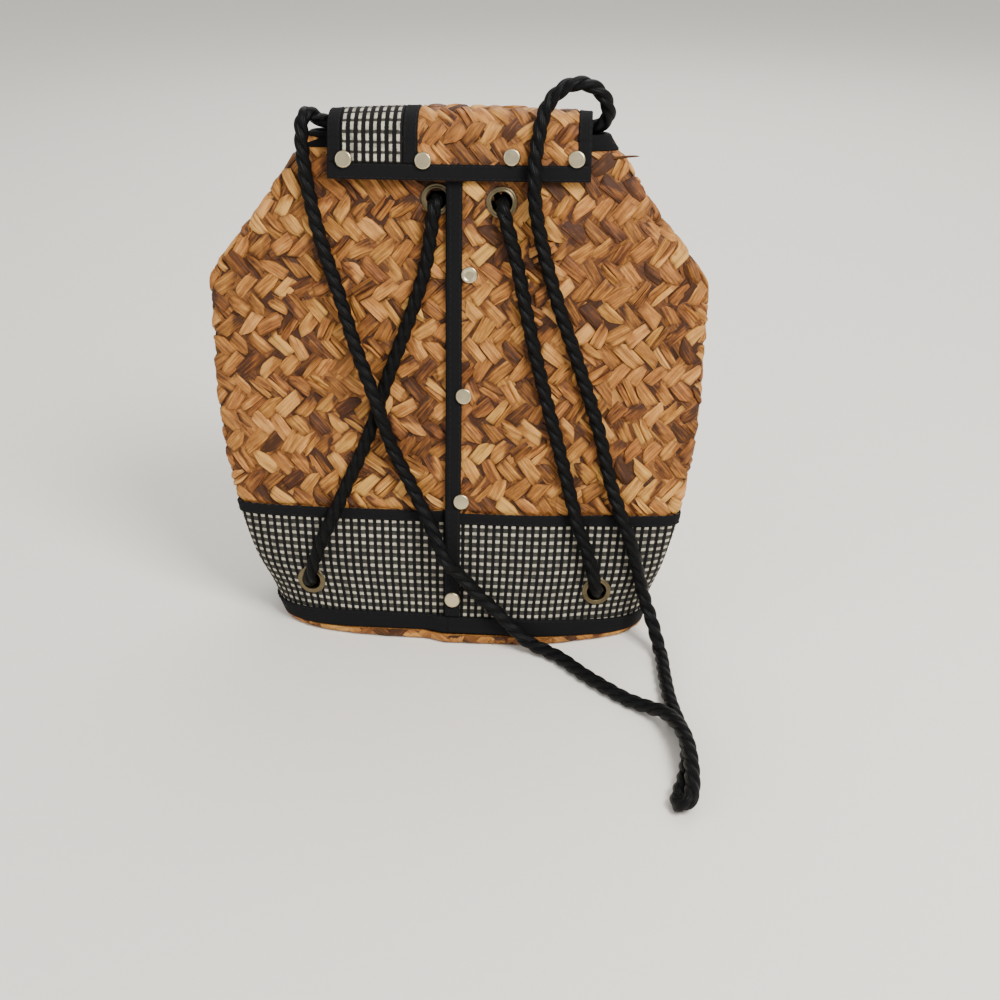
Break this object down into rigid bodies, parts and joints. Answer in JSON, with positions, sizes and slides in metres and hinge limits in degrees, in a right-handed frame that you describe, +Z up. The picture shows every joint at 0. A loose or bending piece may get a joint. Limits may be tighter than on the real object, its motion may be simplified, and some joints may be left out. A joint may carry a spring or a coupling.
{
  "type": "woven straw backpack",
  "caption": "Soft backpack of plaited straw on a flat oval base, with a check cloth band, a buttoned front opening, a flap over the mouth and one black rope as straps and drawstring",
  "frame": {"origin": "middle of the box round the bag without its rope, on the floor", "axes": "+X to the right seen from the front, +Y to the back, +Z up; the front looks along -Y"},
  "size_m": [0.299, 0.2698, 0.3399],
  "materials": {
    "straw": "matte plaited straw",
    "check_cloth": "black and off-white woven check",
    "black_tape": "matte woven tape",
    "stud_metal": "pale polished caps",
    "grommet_metal": "aged brass",
    "rope": "glossy twisted rope"
  },
  "bodies": {
    "root": {"body_wall": "straw", "base_panel": "straw", "flap": "straw", "check_band": "check_cloth", "flap_patch": "check_cloth", "band_binding": "black_tape", "base_binding": "black_tape", "placket_binding": "black_tape", "mouth_binding": "black_tape", "flap_left_binding": "black_tape", "flap_right_binding": "black_tape", "flap_middle_binding": "black_tape", "flap_front_binding": "black_tape", "flap_back_binding": "black_tape", "placket_stud_1": "stud_metal", "placket_stud_2": "stud_metal", "placket_stud_3": "stud_metal", "placket_stud_4": "stud_metal", "flap_stud_1": "stud_metal", "flap_stud_2": "stud_metal", "flap_stud_3": "stud_metal", "flap_stud_4": "stud_metal", "grommet_upper_left": "grommet_metal", "grommet_upper_right": "grommet_metal", "grommet_lower_left": "grommet_metal", "grommet_lower_right": "grommet_metal", "cord": "rope", "knot_left": "rope", "knot_right": "rope"}
  },
  "joints": []
}
